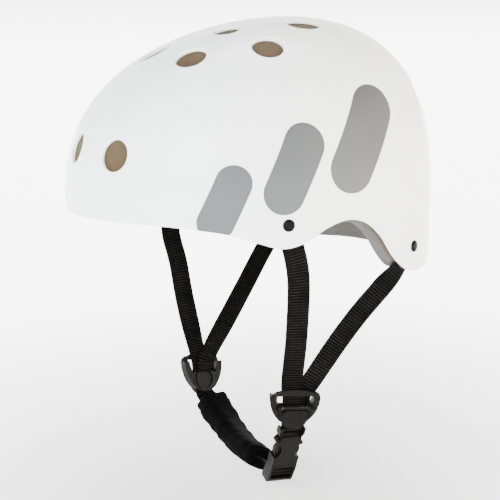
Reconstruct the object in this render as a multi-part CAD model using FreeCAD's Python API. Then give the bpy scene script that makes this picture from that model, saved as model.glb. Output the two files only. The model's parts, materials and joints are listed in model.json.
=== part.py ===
import FreeCAD, Part
import math
import os

# A water-sports helmet with its retention harness. Millimetres, the wearer faces -Y, +X is the
# wearer's left, +Z is up. The origin is on the mid-plane, under the crown, level with the front rim.

Vector = FreeCAD.Vector

# ---------------------------------------------------------------- driving dimensions

HALF_WIDTH = 113.0          # half width of the shell at the ears
FRONT_REACH = 168.7         # crown axis to the forehead
REAR_REACH = 111.3          # crown axis to the back of the head
CROWN_HEIGHT = 137.7        # front rim to the top of the crown
SKIRT_DEPTH = 60.0          # raw dome below the front rim, before the rim is trimmed

SHELL_WALL = 3.0
LAYER_GAP = 0.2             # clearance between the shell, the foams and the pads
BACKING_WALL = 2.8
LINER_WALL = 17.8
PATCH_WALL = 1.2
PAD_WALL = 7.5
BACKING_TOP = SHELL_WALL + LAYER_GAP
LINER_TOP = BACKING_TOP + BACKING_WALL + LAYER_GAP
PATCH_TOP = LINER_TOP + LINER_WALL + LAYER_GAP
PAD_TOP = PATCH_TOP + PATCH_WALL + LAYER_GAP

VENT_RADIUS = 11.0
LONG_VENT = 14.0            # long half axis of the oval vents

WEB_WIDTH = 16.0
WEB_THICKNESS = 1.4
WEB_INSET = 4.6             # depth of the strap ends under the shell's outside
STRAP_TURN = 0.32           # turn of the hanging straps about the vertical, towards the divider
RELIEF = 1.5                # foam cut back round the strap ends, on each side

RIVET_HEAD_RADIUS = 4.3
RIVET_HEAD_HEIGHT = 2.0
RIVET_RADIUS = 1.9
RIVET_HOLE = 2.05
WASHER_RADIUS = 4.6
WASHER_WALL = 0.9
RIVET_POCKET = 6.5          # radius of the liner's pocket round a washer

# anchor points of the straps on the left side, as y and z; the right side mirrors them
FRONT_RIVET = (-49.4, -3.4)
REAR_RIVET = (57.1, -27.9)

# the rim, seen from the side, from the front to the back, as y and z
RIM_OUTLINE = [(-180, -1.8), (-134, -2.4), (-107, -5.4), (-88, -8.8), (-70, -14.8),
               (-52, -19.6), (-36, -16.0), (-21, -7.4), (-3, -2.6), (12, -7.2), (23, -17.2),
               (33, -30.6), (45, -41.6), (63, -47.0), (85, -45.8), (125, -41.0)]
EAR_START, EAR_END = -30, 60    # y range in which the foams stand proud of the shell's rim
LINER_DROP = 2.6
BACKING_DROP = 0.5
FOAM_RISE = 0.8

# strap dividers: centre of the top bar, downward axis and width axis of each
DIVIDER_LEFT = (Vector(72.3, -24.8, -133.5), Vector(-0.33, 0.09, -0.94), Vector(0.3, 0.94, -0.1))
DIVIDER_RIGHT = (Vector(-69.6, -43.0, -143.0), Vector(0.33, -0.05, -0.94), Vector(-0.2, 0.96, -0.12))
DIVIDER_LENGTH = 30.5
FLAP_RADIUS = 9.8
FLAP_CENTRE = 22.8          # down the divider from its top bar
FLAP_WALL = 2.0
FLAP_DISC = 3.8             # thickness of the flap at its raised disc
HINGE_DOWN = 13.4           # the flap's hinge pin, down the divider from its top bar
HINGE_OUT = 4.1
PIN_RADIUS = 0.8
BOSS_DOWN = 20.0            # round boss with an eye, on the divider's inner side
BOSS_RADIUS = 9.2

# side-release buckle: its top, downward axis and width axis
BUCKLE_AXIS = Vector(-0.33, -0.09, -0.94)
BUCKLE_WIDTH_AXIS = Vector(0, 0.995, -0.095)
BUCKLE_DROP = 35.0          # from the left divider's top bar to the buckle's top
BUCKLE_HALF_WIDTH = 10.6
BUCKLE_HALF_WALL = 4.6
BUCKLE_LENGTH = 50.0
MOUTH_DOWN = 7.0            # where the socket half starts
WEB_BAR_DOWN = 2.2          # the plug half's webbing bar
WEB_BAR_RADIUS = 1.3
PRONG_ROOT = 9.4
PRONG_TIP = 27.0
LOCK_BAR_DOWN = 41.2        # the socket half's ladder-lock bar

# the padded sleeve round the chin strap
SLEEVE_WIDTH = 27.0
SLEEVE_THICKNESS = 17.0


# ---------------------------------------------------------------- helpers

def unit(v):
    return v * (1.0 / v.Length)


def mirrored(v):
    return Vector(-v.x, v.y, v.z)


def plan_at(lift, front):
    """Half length, half width and plan exponent of the shell at a height, as a share of the crown's."""
    if front:
        reach, plan, fullness, crown = FRONT_REACH, 2.29, 2.52, 1.77
    else:
        reach, plan, fullness, crown = REAR_REACH, 2.15, 3.05, 2.3
    along = reach * (1 - lift ** fullness) ** (1 / crown)
    across = HALF_WIDTH * (1 - lift ** 2.46) ** (1 / 2.14)
    return along, across, plan


def outside(rise, turn):
    """Point on the shell's outside: rise 0 (rim level) to 90 (crown), turn 0 at the left side."""
    c = math.cos(math.radians(turn))
    s = math.sin(math.radians(turn))
    lift = math.sin(math.radians(rise))
    along, across, plan = plan_at(lift, s < 0)
    r = (abs(c) ** plan + abs(s) ** plan) ** (-1 / plan)
    return Vector(across * r * c, along * r * s, CROWN_HEIGHT * lift)


def fill(point):
    """Below 1 inside the shell's outside, above 1 beyond it."""
    lift = min(max(point.z, 0) / CROWN_HEIGHT, 0.99999)
    along, across, plan = plan_at(lift, point.y < 0)
    return (abs(point.x) / across) ** plan + (abs(point.y) / along) ** plan


def outward_at(point):
    """Direction square to the shell at a point of its outside."""
    step = 0.05
    slope = Vector(fill(point + Vector(step, 0, 0)) - fill(point - Vector(step, 0, 0)),
                   fill(point + Vector(0, step, 0)) - fill(point - Vector(0, step, 0)),
                   fill(point + Vector(0, 0, step)) - fill(point - Vector(0, 0, step)))
    return unit(slope)


def on_shell(point):
    """Point where the line from inside the dome through point meets the shell's outside."""
    centre = Vector(0, point.y * 0.3, min(point.z, 40) * 0.5)
    near, far = 0.2, 2.0
    for _ in range(40):
        middle = (near + far) / 2
        probe = centre + (point - centre) * middle
        if probe.z < CROWN_HEIGHT and fill(probe) < 1:
            near = middle
        else:
            far = middle
    return centre + (point - centre) * near


def inside(rise, turn, inset):
    """Point at rise and turn, moved in by inset, square to the surface."""
    step = 0.05
    around = outside(rise, turn + step) - outside(rise, turn - step)
    upward = outside(rise + step, turn) - outside(max(rise - step, 0), turn)
    return outside(rise, turn) - unit(around.cross(upward)) * inset


def closed_curve(points):
    curve = Part.BSplineCurve()
    curve.interpolate(Points=points, PeriodicFlag=True)
    return Part.Wire([curve.toShape()])


def dome(inset):
    """Solid dome whose surface is the shell's outside moved in by inset."""
    sections = []
    for level in (-SKIRT_DEPTH, -SKIRT_DEPTH / 2):
        ring = [inside(0, turn, inset) for turn in range(90, 450, 15)]
        sections.append(closed_curve([Vector(p.x, p.y, level) for p in ring]))
    for rise in (0, 8, 16, 24, 32, 40, 48, 56, 64, 72, 79, 85):
        sections.append(closed_curve([inside(rise, turn, inset) for turn in range(90, 450, 15)]))
    sections.append(Part.Vertex(Vector(0, 0, CROWN_HEIGHT - inset)))
    return Part.makeLoft(sections, True, False)


def layer(outer_inset, wall):
    return dome(outer_inset).cut(dome(outer_inset + wall))


def above_rim(ear_drop, rise):
    """Everything above the rim, as a prism across the helmet. The rim is lowered by ear_drop in
    the ear notches, and raised by rise elsewhere."""
    points = []
    for y, z in RIM_OUTLINE:
        at_ear = EAR_START < y < EAR_END
        points.append(Vector(-150, y, z - ear_drop if at_ear else z + rise))
    curve = Part.BSplineCurve()
    curve.interpolate(points)
    top_back = Vector(-150, points[-1].y, 160)
    top_front = Vector(-150, points[0].y, 160)
    wire = Part.Wire([curve.toShape(), Part.makeLine(points[-1], top_back),
                      Part.makeLine(top_back, top_front), Part.makeLine(top_front, points[0])])
    return Part.Face(wire).extrude(Vector(300, 0, 0))


def placed(shape, origin, x_axis, y_axis, z_axis):
    """Copy of shape, moved from the world axes to the given ones."""
    matrix = FreeCAD.Matrix(x_axis.x, y_axis.x, z_axis.x, origin.x,
                            x_axis.y, y_axis.y, z_axis.y, origin.y,
                            x_axis.z, y_axis.z, z_axis.z, origin.z,
                            0, 0, 0, 1)
    copy = shape.copy()
    copy.Placement = FreeCAD.Placement(matrix).multiply(shape.Placement)
    return copy


def cylinder(centre, axis, radius, start, end):
    """Cylinder from start to end along axis, measured from centre."""
    return Part.makeCylinder(radius, end - start, centre + axis * start, axis)


def slab(x0, x1, y0, y1, z0, z1):
    return Part.makeBox(x1 - x0, y1 - y0, z1 - z0, Vector(x0, y0, z0))


def outline_prism(points, low, high):
    """Prism over a closed outline in x and y, between two heights."""
    corners = [Vector(x, y, low) for x, y in points]
    face = Part.Face(Part.makePolygon(corners + [corners[0]]))
    return face.extrude(Vector(0, 0, high - low))


def rounded(shape, radius, picks):
    """Round the edges for which picks is true."""
    edges = [edge for edge in shape.Edges if picks(edge)]
    return shape.makeFillet(radius, edges)


def joined(shapes):
    """One shape of separate solids."""
    return Part.makeCompound(shapes)


# ---------------------------------------------------------------- shell, foams and pads

def vent_cutters():
    """Cutters of the vents: those on the mid-plane once, the others on both sides."""
    vents = [
        (Vector(0, -163, 45), VENT_RADIUS, VENT_RADIUS),
        (Vector(50, -151, 43), VENT_RADIUS, VENT_RADIUS),
        (Vector(0, -101, 112), LONG_VENT, VENT_RADIUS),
        (Vector(46, -93, 108), VENT_RADIUS, VENT_RADIUS),
        (Vector(28, -58, 126), 9.5, 9.5),
        (Vector(65, -43, 114), VENT_RADIUS, VENT_RADIUS),
        (Vector(41, -3, 131), 13.0, 10.0),
        (Vector(0, 92, 84), VENT_RADIUS, VENT_RADIUS),
        (Vector(52, 82, 78), VENT_RADIUS, VENT_RADIUS),
    ]
    cutters = []
    for point, long_half, short_half in vents:
        sides = [point] if point.x == 0 else [point, mirrored(point)]
        for place in sides:
            centre = on_shell(place)
            outward = outward_at(centre)
            across = unit(Vector(0, 1, 0).cross(outward))
            ellipse = Part.Ellipse(Vector(0, 0, -7), long_half, short_half)
            prism = Part.Face(Part.Wire([ellipse.toShape()])).extrude(Vector(0, 0, 15))
            cutters.append(placed(prism, centre, outward.cross(across), -across, outward))
    return cutters


def shell_side(y, z):
    """Point of the left side of the shell at a given y and z."""
    along, across, plan = plan_at(max(z, 0) / CROWN_HEIGHT, y < 0)
    return Vector(across * (1 - (abs(y) / along) ** plan) ** (1 / plan), y, z)


def rivet_places():
    """Centre and outward direction of the four strap rivets, on the shell's outside."""
    places = []
    for y, z in (FRONT_RIVET, REAR_RIVET):
        left = shell_side(y, z)
        outward = outward_at(left)
        places.append((left, outward))
        places.append((mirrored(left), mirrored(outward)))
    return places


def rivet_cylinders(radius, start, end):
    return joined([cylinder(place, outward, radius, start, end) for place, outward in rivet_places()])


def outer_shell():
    shell = layer(0, SHELL_WALL).common(above_rim(0, 0)).cut(joined(vent_cutters()))
    return shell.cut(rivet_cylinders(RIVET_HOLE, -8, 8))


def foam_backing():
    backing = layer(BACKING_TOP, BACKING_WALL).common(above_rim(BACKING_DROP, FOAM_RISE))
    return backing.cut(strap_reliefs())


def impact_liner():
    liner = layer(LINER_TOP, LINER_WALL).common(above_rim(LINER_DROP, FOAM_RISE))
    liner = liner.cut(rivet_cylinders(RIVET_POCKET, -LINER_TOP - 2.5, 8))
    return liner.cut(strap_reliefs())


def pad_outlines():
    """Prism that each comfort pad is cut from: name, prism."""
    front = slab(-62, 62, -200, -60, 12, 52)
    rear = slab(-55, 55, 40, 150, -22, 30)
    side = slab(40, 130, -52, 30, 14, 62)
    crown = Part.makeCylinder(48, 100, Vector(0, -22, 60))
    return {
        "front_pad": rounded(front, 14, along_y),
        "rear_pad": rounded(rear, 14, along_y),
        "left_side_pad": rounded(side, 14, along_x),
        "right_side_pad": rounded(side.mirror(Vector(0, 0, 0), Vector(1, 0, 0)), 14, along_x),
        "crown_pad": crown,
    }


def along_x(edge):
    return abs(abs(edge.tangentAt(edge.FirstParameter).x) - 1) < 1e-6


def along_y(edge):
    return abs(abs(edge.tangentAt(edge.FirstParameter).y) - 1) < 1e-6


def comfort_pads():
    sheet = layer(PAD_TOP, PAD_WALL)
    pads = {}
    for name, prism in pad_outlines().items():
        pads[name] = sheet.common(prism)
    return pads


def hook_patches():
    """Hook-and-loop dots between the liner and the pads."""
    sheet = layer(PATCH_TOP, PATCH_WALL)
    spots = [(-38, -150, 32), (38, -150, 32), (-34, 95, 4), (34, 95, 4), (100, -34, 38), (100, 12, 38),
             (-100, -34, 38), (-100, 12, 38), (-24, -22, 130), (24, -22, 130)]
    dots = []
    for spot in spots:
        centre = on_shell(Vector(*spot))
        dots.append(cylinder(centre, outward_at(centre), 9, -PAD_TOP - 8, 0))
    return sheet.common(joined(dots))


# ---------------------------------------------------------------- rivets

def strap_rivets():
    """Domed heads on stems, set through the shell, a strap end and a washer."""
    rivets = []
    ball = (RIVET_HEAD_RADIUS ** 2 + RIVET_HEAD_HEIGHT ** 2) / (2 * RIVET_HEAD_HEIGHT)
    for place, outward in rivet_places():
        base = place + outward * 0.1
        centre = base + outward * (RIVET_HEAD_HEIGHT - ball)
        head = Part.makeSphere(ball, centre).common(cylinder(base, outward, RIVET_HEAD_RADIUS + 1, 0, 5))
        stem = cylinder(place, outward, RIVET_RADIUS, -LINER_TOP - 0.9, 0.2)
        tail = cylinder(place, outward, RIVET_RADIUS + 1.0, -LINER_TOP - 1.5, -LINER_TOP - 0.8)
        rivets.append(head.fuse([stem, tail]))
    return joined(rivets)


def rivet_washers():
    outer = WEB_INSET + WEB_THICKNESS / 2 + 0.35
    rings = []
    for place, outward in rivet_places():
        disc = cylinder(place, outward, WASHER_RADIUS, -outer - WASHER_WALL, -outer)
        rings.append(disc.cut(cylinder(place, outward, RIVET_HOLE, -20, 0)))
    return joined(rings)


# ---------------------------------------------------------------- webbing

def ribbon(points, faces, width, thickness):
    """Flat strap through points; faces gives the direction that its face looks in at each point."""
    sections = []
    for i, point in enumerate(points):
        along = unit(points[min(i + 1, len(points) - 1)] - points[max(i - 1, 0)])
        side = unit(along.cross(faces[i])) * (width / 2)
        up = unit(side.cross(along)) * (thickness / 2)
        corners = [point + side + up, point - side + up, point - side - up, point + side - up]
        sections.append(Part.makePolygon(corners + [corners[0]]))
    return Part.makeLoft(sections, True, True)


class Frame:
    """Local axes of a divider or of the buckle: across, down, and out of the helmet."""

    def __init__(self, origin, down, across, out_hint):
        self.origin = origin
        self.down = unit(down)
        self.across = unit(across - self.down * self.down.dot(across))
        self.out = self.across.cross(self.down)
        if self.out.dot(out_hint) < 0:
            self.across = self.across * -1
            self.out = self.out * -1
        self.rearward = 1 if self.across.y > 0 else -1

    def point(self, across, down, out):
        return self.origin + self.across * across + self.down * down + self.out * out

    def place(self, shape):
        return placed(shape, self.origin, self.across, self.down, self.out)


LEFT, RIGHT = Vector(1, 0, 0), Vector(-1, 0, 0)
LEFT_DIVIDER = Frame(*DIVIDER_LEFT, LEFT)
RIGHT_DIVIDER = Frame(*DIVIDER_RIGHT, RIGHT)
BUCKLE = Frame(LEFT_DIVIDER.point(0, BUCKLE_DROP, 0), BUCKLE_AXIS, BUCKLE_WIDTH_AXIS, LEFT)


# name: rivet, rearward lean of the strap as it rises to the rivet, side, hand-set route points,
# divider, distance that it enters the divider behind its middle, and level in the divider
UPPER_STRAPS = {
    "left_front_strap": (FRONT_RIVET, -0.3, LEFT, [(102, -38, -40), (88, -32, -88)],
                         LEFT_DIVIDER, -3, 0.9),
    "left_rear_strap": (REAR_RIVET, 0.75, LEFT, [(94, 34, -57.6), (88, 19, -77), (81, 5, -99)],
                        LEFT_DIVIDER, 9.5, -0.9),
    "right_front_strap": (FRONT_RIVET, 0.25, RIGHT, [(-102, -56.5, -37), (-94, -53, -65), (-84, -51, -97)],
                          RIGHT_DIVIDER, -3, 0.9),
    "right_rear_strap": (REAR_RIVET, 0.75, RIGHT, [(-94, 30, -58), (-86, 7, -88), (-78, -13, -113)],
                         RIGHT_DIVIDER, 9.5, -0.9),
}
FREE_START = 4      # route points of an upper strap before it has left the foams


def upper_route(rivet, lean, side, route, divider, rearward, level):
    """Centre points and face directions of a strap from its rivet into its divider."""
    place = shell_side(*rivet)
    outward = outward_at(place)
    upward = unit(Vector(0, lean, 1) - outward * outward.dot(Vector(0, lean, 1)))
    at_rivet = place - outward * WEB_INSET
    points = [at_rivet + upward * 8, at_rivet, at_rivet - upward * 13]
    if side == RIGHT:
        points = [mirrored(p) for p in points]
        outward = mirrored(outward)
    free_face = unit(side + side.cross(Vector(0, 0, 1)) * STRAP_TURN + Vector(0, 0, -0.15))
    faces = [outward] * len(points) + [free_face] * len(route)
    points += [Vector(*p) for p in route]
    shift = rearward * divider.rearward
    for across, down in ((shift, -4), (shift * 0.5, 4), (shift * 0.36, 11), (shift * 0.25, 15.5)):
        points.append(divider.point(across, down, level))
        faces.append(divider.out)
    return points, faces


def upper_strap(name):
    strap = ribbon(*upper_route(*UPPER_STRAPS[name]), WEB_WIDTH, WEB_THICKNESS)
    return strap.cut(rivet_cylinders(RIVET_HOLE, -12, 2))


def strap_reliefs():
    """Space that the foams leave round the strap ends."""
    reliefs = []
    for strap in UPPER_STRAPS.values():
        points, faces = upper_route(*strap)
        points[0] = points[0] + (points[0] - points[1]) * 0.15
        reliefs.append(ribbon(points[:FREE_START], faces[:FREE_START], WEB_WIDTH + 2 * RELIEF,
                              WEB_THICKNESS + 2 * RELIEF))
    return joined(reliefs)


def divider_body(frame):
    """Rounded triangular frame with a webbing window, side rails and a back plate."""
    arch = Part.Arc(Vector(-13.4, -0.4, 0), Vector(0, -2.6, 0), Vector(13.4, -0.4, 0)).toShape()
    foot = Part.Arc(Vector(11.2, 25.6, 0), Vector(0, DIVIDER_LENGTH, 0), Vector(-11.2, 25.6, 0)).toShape()
    sides = []
    for side in (1, -1):
        sides.append(Part.Arc(Vector(side * 13.4, -0.4, 0), Vector(side * 17.6, 1.8, 0),
                              Vector(side * 18.6, 6.6, 0)).toShape())
        sides.append(Part.Arc(Vector(side * 18.6, 6.6, 0), Vector(side * 16.4, 17.2, 0),
                              Vector(side * 11.2, 25.6, 0)).toShape())
    wire = Part.Wire(Part.__sortEdges__([arch, foot] + sides))
    body = Part.Face(wire).extrude(Vector(0, 0, 7.2))
    body.translate(Vector(0, 0, -3.4))
    window = outline_prism([(-13.4, 3.0), (13.4, 3.0), (13.9, 7.6), (11.4, 14.5), (-11.4, 14.5),
                            (-13.9, 7.6)], -5, 5)
    side_ends = sorted((-14.8 * frame.rearward, 19.5 * frame.rearward))
    behind_bar = slab(*side_ends, -6, 5.5, -5, 1.9)
    passage = slab(-8.9, 8.9, 13, 40, -2.2, 5).fuse(slab(-12.6, 12.6, 12, 17.5, -2.2, 0.2))
    flap_seat = Part.makeCylinder(FLAP_RADIUS + 0.4, 6, Vector(0, FLAP_CENTRE, 2.0))
    flap_seat = flap_seat.fuse(outline_prism([(-9.4, 15.6), (9.4, 15.6), (11.9, 17.8), (11.9, 21.3),
                                              (9.0, 27.0), (-9.0, 27.0), (-11.9, 21.3), (-11.9, 17.8)], 2, 8))
    hinge_seat = slab(-13.5, 13.5, HINGE_DOWN - 1.9, HINGE_DOWN + 1.9, 1.9, 9)
    boss = Part.makeCylinder(BOSS_RADIUS, 1.2, Vector(0, BOSS_DOWN, -4.4))
    eye = Part.makeCylinder(BOSS_RADIUS - 2.0, 2, Vector(0, BOSS_DOWN, -5))
    body = body.fuse(boss).cut(joined([window, behind_bar, passage, flap_seat, hinge_seat, eye]))
    ears = slab(-12.2, -9.2, HINGE_DOWN - 1.7, HINGE_DOWN + 1.7, 1.5, HINGE_OUT + 1.7)
    ears = ears.fuse(slab(9.2, 12.2, HINGE_DOWN - 1.7, HINGE_DOWN + 1.7, 1.5, HINGE_OUT + 1.7))
    pin_hole = Part.makeCylinder(PIN_RADIUS + 0.04, 40, Vector(-20, HINGE_DOWN, HINGE_OUT), Vector(1, 0, 0))
    return frame.place(body.fuse(ears).cut(pin_hole))


def divider_flap(frame):
    """Locking flap: a plate with a raised disc, and a barrel on the hinge pin."""
    disc = Part.makeCylinder(FLAP_RADIUS, FLAP_DISC, Vector(0, FLAP_CENTRE, 2.4))
    disc = rounded(disc, 0.7, lambda edge: edge.CenterOfMass.z > 2.4 + FLAP_DISC / 2)
    disc = disc.cut(slab(-12, 12, 5, HINGE_DOWN + 1.2, 0, 10))
    plate = outline_prism([(-8.9, 16.2), (8.9, 16.2), (11.4, 18.1), (11.4, 21.0), (9.0, 26.0),
                           (-9.0, 26.0), (-11.4, 21.0), (-11.4, 18.1)], 2.4, 2.4 + FLAP_WALL)
    barrel = Part.makeCylinder(1.6, 17.8, Vector(-8.9, HINGE_DOWN, HINGE_OUT), Vector(1, 0, 0))
    web = slab(-7.5, 7.5, HINGE_DOWN, HINGE_DOWN + 3, 2.6, 4.6)
    flap = disc.fuse([plate, barrel, web])
    bore = Part.makeCylinder(PIN_RADIUS + 0.05, 30, Vector(-15, HINGE_DOWN, HINGE_OUT), Vector(1, 0, 0))
    return frame.place(flap.cut(bore))


def divider_pin(frame):
    pin = Part.makeCylinder(PIN_RADIUS, 23.6, Vector(-11.8, HINGE_DOWN, HINGE_OUT), Vector(1, 0, 0))
    return frame.place(pin)


# ---------------------------------------------------------------- side-release buckle

def buckle_plug():
    """Plug half without its prongs: shoulders, webbing bar, cross beam and guide blade."""
    half = BUCKLE_HALF_WIDTH
    base = outline_prism([(-half, 0), (half, 0), (half, 5.2), (8.0, 9.2), (-8.0, 9.2), (-half, 5.2)],
                         -3.3, 3.3)
    base = base.cut(slab(-8.8, 8.8, -1, 6.4, -5, 5))
    bar = Part.makeCylinder(WEB_BAR_RADIUS, 18, Vector(-9, WEB_BAR_DOWN, 0), Vector(1, 0, 0))
    blade = slab(-1.5, 1.5, 9.0, 25, -1.2, 1.2)
    return BUCKLE.place(base.fuse([bar, blade]))


def buckle_prong(rearward):
    """Sprung prong with a barb that fills the socket's side window."""
    side = rearward * BUCKLE.rearward
    root_in, root_out, neck, cheek, tip_out, tip_in, crook = [
        Vector(side * across, down, -2.5) for across, down in (
            (5.4, PRONG_ROOT), (7.6, PRONG_ROOT), (7.6, 14.6), (10.3, 20.4), (7.0, PRONG_TIP),
            (5.8, PRONG_TIP), (5.8, 17))]
    shoulder = Part.Arc(neck, Vector(side * 9.6, 16.8, -2.5), cheek).toShape()
    nose = Part.Arc(cheek, Vector(side * 9.3, 24.6, -2.5), tip_out).toShape()
    edges = [Part.makeLine(root_in, root_out), Part.makeLine(root_out, neck), shoulder, nose,
             Part.makeLine(tip_out, tip_in), Part.makeLine(tip_in, crook), Part.makeLine(crook, root_in)]
    return BUCKLE.place(Part.Face(Part.Wire(edges)).extrude(Vector(0, 0, 5)))


def buckle_socket():
    """Socket half: hollow body with side windows, and a ladder-lock end for the chin strap."""
    half = BUCKLE_HALF_WIDTH
    wall = BUCKLE_HALF_WALL
    end = BUCKLE_LENGTH
    side_view = [(MOUTH_DOWN, wall - 0.2), (12, wall), (33, wall), (36, wall + 0.4), (end - 2, wall - 0.8),
                 (end, wall - 2), (end, -wall - 1.6), (end - 2, -wall - 2.4), (35, -wall),
                 (MOUTH_DOWN, -wall)]
    prism = outline_prism(side_view, -half, half)
    body = placed(prism, Vector(0, 0, 0), Vector(0, 1, 0), Vector(0, 0, 1), Vector(1, 0, 0))
    body = body.cut(outline_prism([(-12, 6), (-8.3, 6), (-8.3, 9.6), (-10.3, 11.6), (-12, 11.6)], -9, 9))
    body = body.cut(outline_prism([(12, 6), (8.3, 6), (8.3, 9.6), (10.3, 11.6), (12, 11.6)], -9, 9))
    cavity = slab(-8.8, 8.8, 0, 29, -3.6, 3.6)
    cuts = [cavity]
    for side in (-1, 1):
        window = Part.Ellipse(Vector(side * half, 19.6, -9), 6.2, 4.6)
        notch = Part.Face(Part.Wire([window.toShape()])).extrude(Vector(0, 0, 18))
        notch.rotate(Vector(side * half, 19.6, 0), Vector(0, 0, 1), 90)
        cuts.append(notch)
    cuts.append(slab(-8.7, 8.7, 35.8, 46.4, -12, 12))
    body = body.cut(joined(cuts))
    bar = slab(-9.2, 9.2, LOCK_BAR_DOWN - 1.5, LOCK_BAR_DOWN + 1.5, -1.6, 1.4)
    bar = rounded(bar, 1.0, along_x)
    return BUCKLE.place(body.fuse(bar))


def drop_strap():
    """Doubled webbing from the left divider, round the plug's bar."""
    points = [LEFT_DIVIDER.point(0, 17, 0), LEFT_DIVIDER.point(0, 24, 0), LEFT_DIVIDER.point(0, 30, -0.9)]
    faces = [LEFT_DIVIDER.out] * 3
    for turn in (190, 150, 110, 70, 30):
        point, face = around_bar(turn, WEB_BAR_RADIUS + 0.25 + WEB_THICKNESS / 2)
        points.append(point)
        faces.append(face)
    return ribbon(points, faces, WEB_WIDTH, WEB_THICKNESS)


def around_bar(turn, gap):
    """Point and face direction round the plug's webbing bar; turn 0 is on its outer side."""
    c = math.cos(math.radians(turn))
    s = math.sin(math.radians(turn))
    point = BUCKLE.point(0, WEB_BAR_DOWN + gap * s, gap * c)
    return point, unit(BUCKLE.down * s + BUCKLE.out * c) * -1


# ---------------------------------------------------------------- chin strap and sleeve

CHIN_ROUTE = [Vector(-54.0, -40.5, -177.2), Vector(-43.0, -37.0, -187.9), Vector(-31.0, -34.9, -194.8),
              Vector(-17.0, -33.9, -199.2), Vector(-2.0, -33.4, -201.4), Vector(13.0, -33.1, -201.8),
              Vector(27.0, -32.0, -202.0)]


# the chin strap round the ladder-lock bar: place down and out from the buckle's top, and its face
LOCK_ROUTE = [(44.9, -9.4, 1, 0.1), (45.1, -5.2, 1, 0.1), (44.4, 1.2, 1, 0.2), (42.4, 2.9, 0.3, 1),
              (40.0, 2.9, -0.3, 1), (38.0, 1.2, -1, 0.2), (37.6, -4.6, -1, 0)]


def chin_faces():
    """Outward direction of the chin strap at each route point, from the right divider to the buckle."""
    start = RIGHT_DIVIDER.out
    end = Vector(0.35, -0.45, -0.82)
    count = len(CHIN_ROUTE)
    return [unit(start * (1 - i / count) + end * (i / count)) for i in range(1, count + 1)]


def chin_strap():
    points = [RIGHT_DIVIDER.point(0, 17, 0), RIGHT_DIVIDER.point(0, 32, 0)] + CHIN_ROUTE
    faces = [RIGHT_DIVIDER.out] * 2 + chin_faces()
    for down, out, face_down, face_out in LOCK_ROUTE:
        points.append(BUCKLE.point(0, down, out))
        faces.append(unit(BUCKLE.down * face_down + BUCKLE.out * face_out))
    return ribbon(points, faces, WEB_WIDTH, WEB_THICKNESS)


def chin_sleeve():
    """Padded tube round the chin strap."""
    points = CHIN_ROUTE
    faces = chin_faces()
    sections = []
    for i, point in enumerate(points):
        along = unit(points[min(i + 1, len(points) - 1)] - points[max(i - 1, 0)])
        side = unit(along.cross(faces[i]))
        up = side.cross(along)
        ring = []
        for k in range(16):
            turn = 2 * math.pi * k / 16
            c, s = math.cos(turn), math.sin(turn)
            reach = (abs(c) ** 3 + abs(s) ** 3) ** (-1 / 3)
            sideways = side * (SLEEVE_WIDTH / 2 * reach * c)
            ring.append(point + sideways + up * (SLEEVE_THICKNESS / 2 * reach * s))
        sections.append(closed_curve(ring))
    tube = Part.makeLoft(sections, True, False)
    return tube.cut(ribbon(points, faces, WEB_WIDTH + 2.4, WEB_THICKNESS + 2.6))


# ---------------------------------------------------------------- write the nodes

def build():
    nodes = {
        "outer_shell": outer_shell(),
        "foam_backing": foam_backing(),
        "impact_liner": impact_liner(),
        "hook_patches": hook_patches(),
        "strap_rivets": strap_rivets(),
        "rivet_washers": rivet_washers(),
        "left_drop_strap": drop_strap(),
        "buckle_plug": buckle_plug(),
        "buckle_prong_front": buckle_prong(-1),
        "buckle_prong_rear": buckle_prong(1),
        "buckle_socket": buckle_socket(),
        "chin_strap": chin_strap(),
        "chin_sleeve": chin_sleeve(),
    }
    nodes.update(comfort_pads())
    for name in UPPER_STRAPS:
        nodes[name] = upper_strap(name)
    for name, frame in (("left", LEFT_DIVIDER), ("right", RIGHT_DIVIDER)):
        nodes[name + "_divider"] = divider_body(frame)
        nodes[name + "_divider_flap"] = divider_flap(frame)
        nodes[name + "_divider_pin"] = divider_pin(frame)
    return nodes


os.makedirs("parts", exist_ok=True)
for name, shape in build().items():
    shape.exportStep("parts/" + name + ".step")
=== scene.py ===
import json
import math

import bmesh
import bpy
import numpy as np
from mathutils import Matrix, Vector
from mathutils.bvhtree import BVHTree
from mathutils.geometry import delaunay_2d_cdt

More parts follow.
